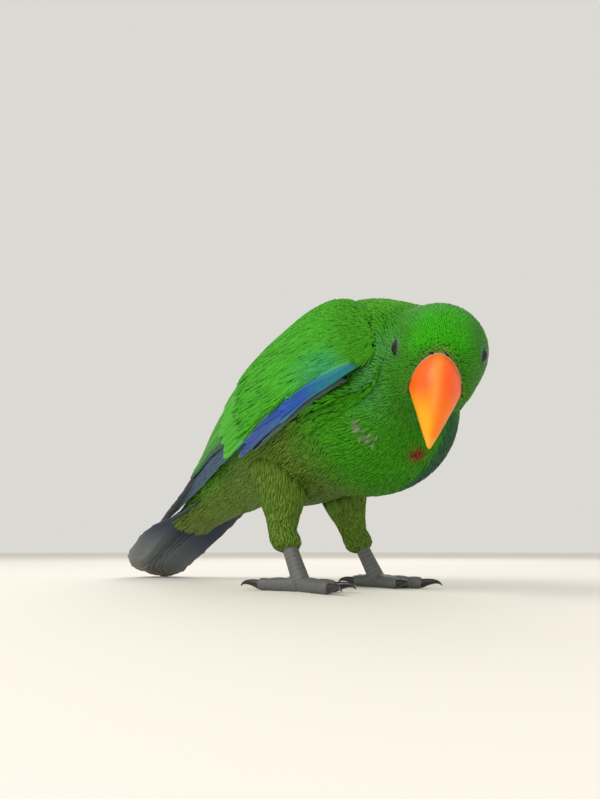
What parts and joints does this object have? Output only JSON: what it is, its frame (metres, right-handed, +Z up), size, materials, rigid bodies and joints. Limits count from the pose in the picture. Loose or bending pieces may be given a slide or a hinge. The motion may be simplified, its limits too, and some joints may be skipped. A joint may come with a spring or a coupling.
{
  "type": "eclectus parrot",
  "caption": "Life-size still model of a male eclectus parrot that stands low, leans forward and turns its head down to its right.",
  "frame": {"origin": "middle of the bounding box, on the ground under the bird", "axes": "+X the way the body faces, +Y to the bird's left, +Z up"},
  "size_m": [0.3148, 0.1066, 0.1479],
  "materials": {
    "body_feathers": "short green feathers",
    "wing_feathers": "overlapping green vanes, blue at the leading edge and black at the tip",
    "tail_feathers": "long vanes, green and blue above and slate below",
    "upper_bill": "smooth horn, orange to yellow at the tip",
    "lower_bill": "smooth black horn",
    "eye": "wet and dark",
    "foot_skin": "grey scaly skin",
    "claw": "dark horn"
  },
  "bodies": {
    "root": {"torso": "body_feathers", "neck": "body_feathers", "head": "body_feathers", "thigh_left": "body_feathers", "thigh_right": "body_feathers", "wing_left": "wing_feathers", "wing_right": "wing_feathers", "tail": "tail_feathers", "bill_upper": "upper_bill", "bill_lower": "lower_bill", "eye_left": "eye", "eye_right": "eye", "foot_left": "foot_skin", "foot_right": "foot_skin", "claw_left_1": "claw", "claw_left_2": "claw", "claw_left_3": "claw", "claw_left_4": "claw", "claw_right_1": "claw", "claw_right_2": "claw", "claw_right_3": "claw", "claw_right_4": "claw"}
  },
  "joints": []
}
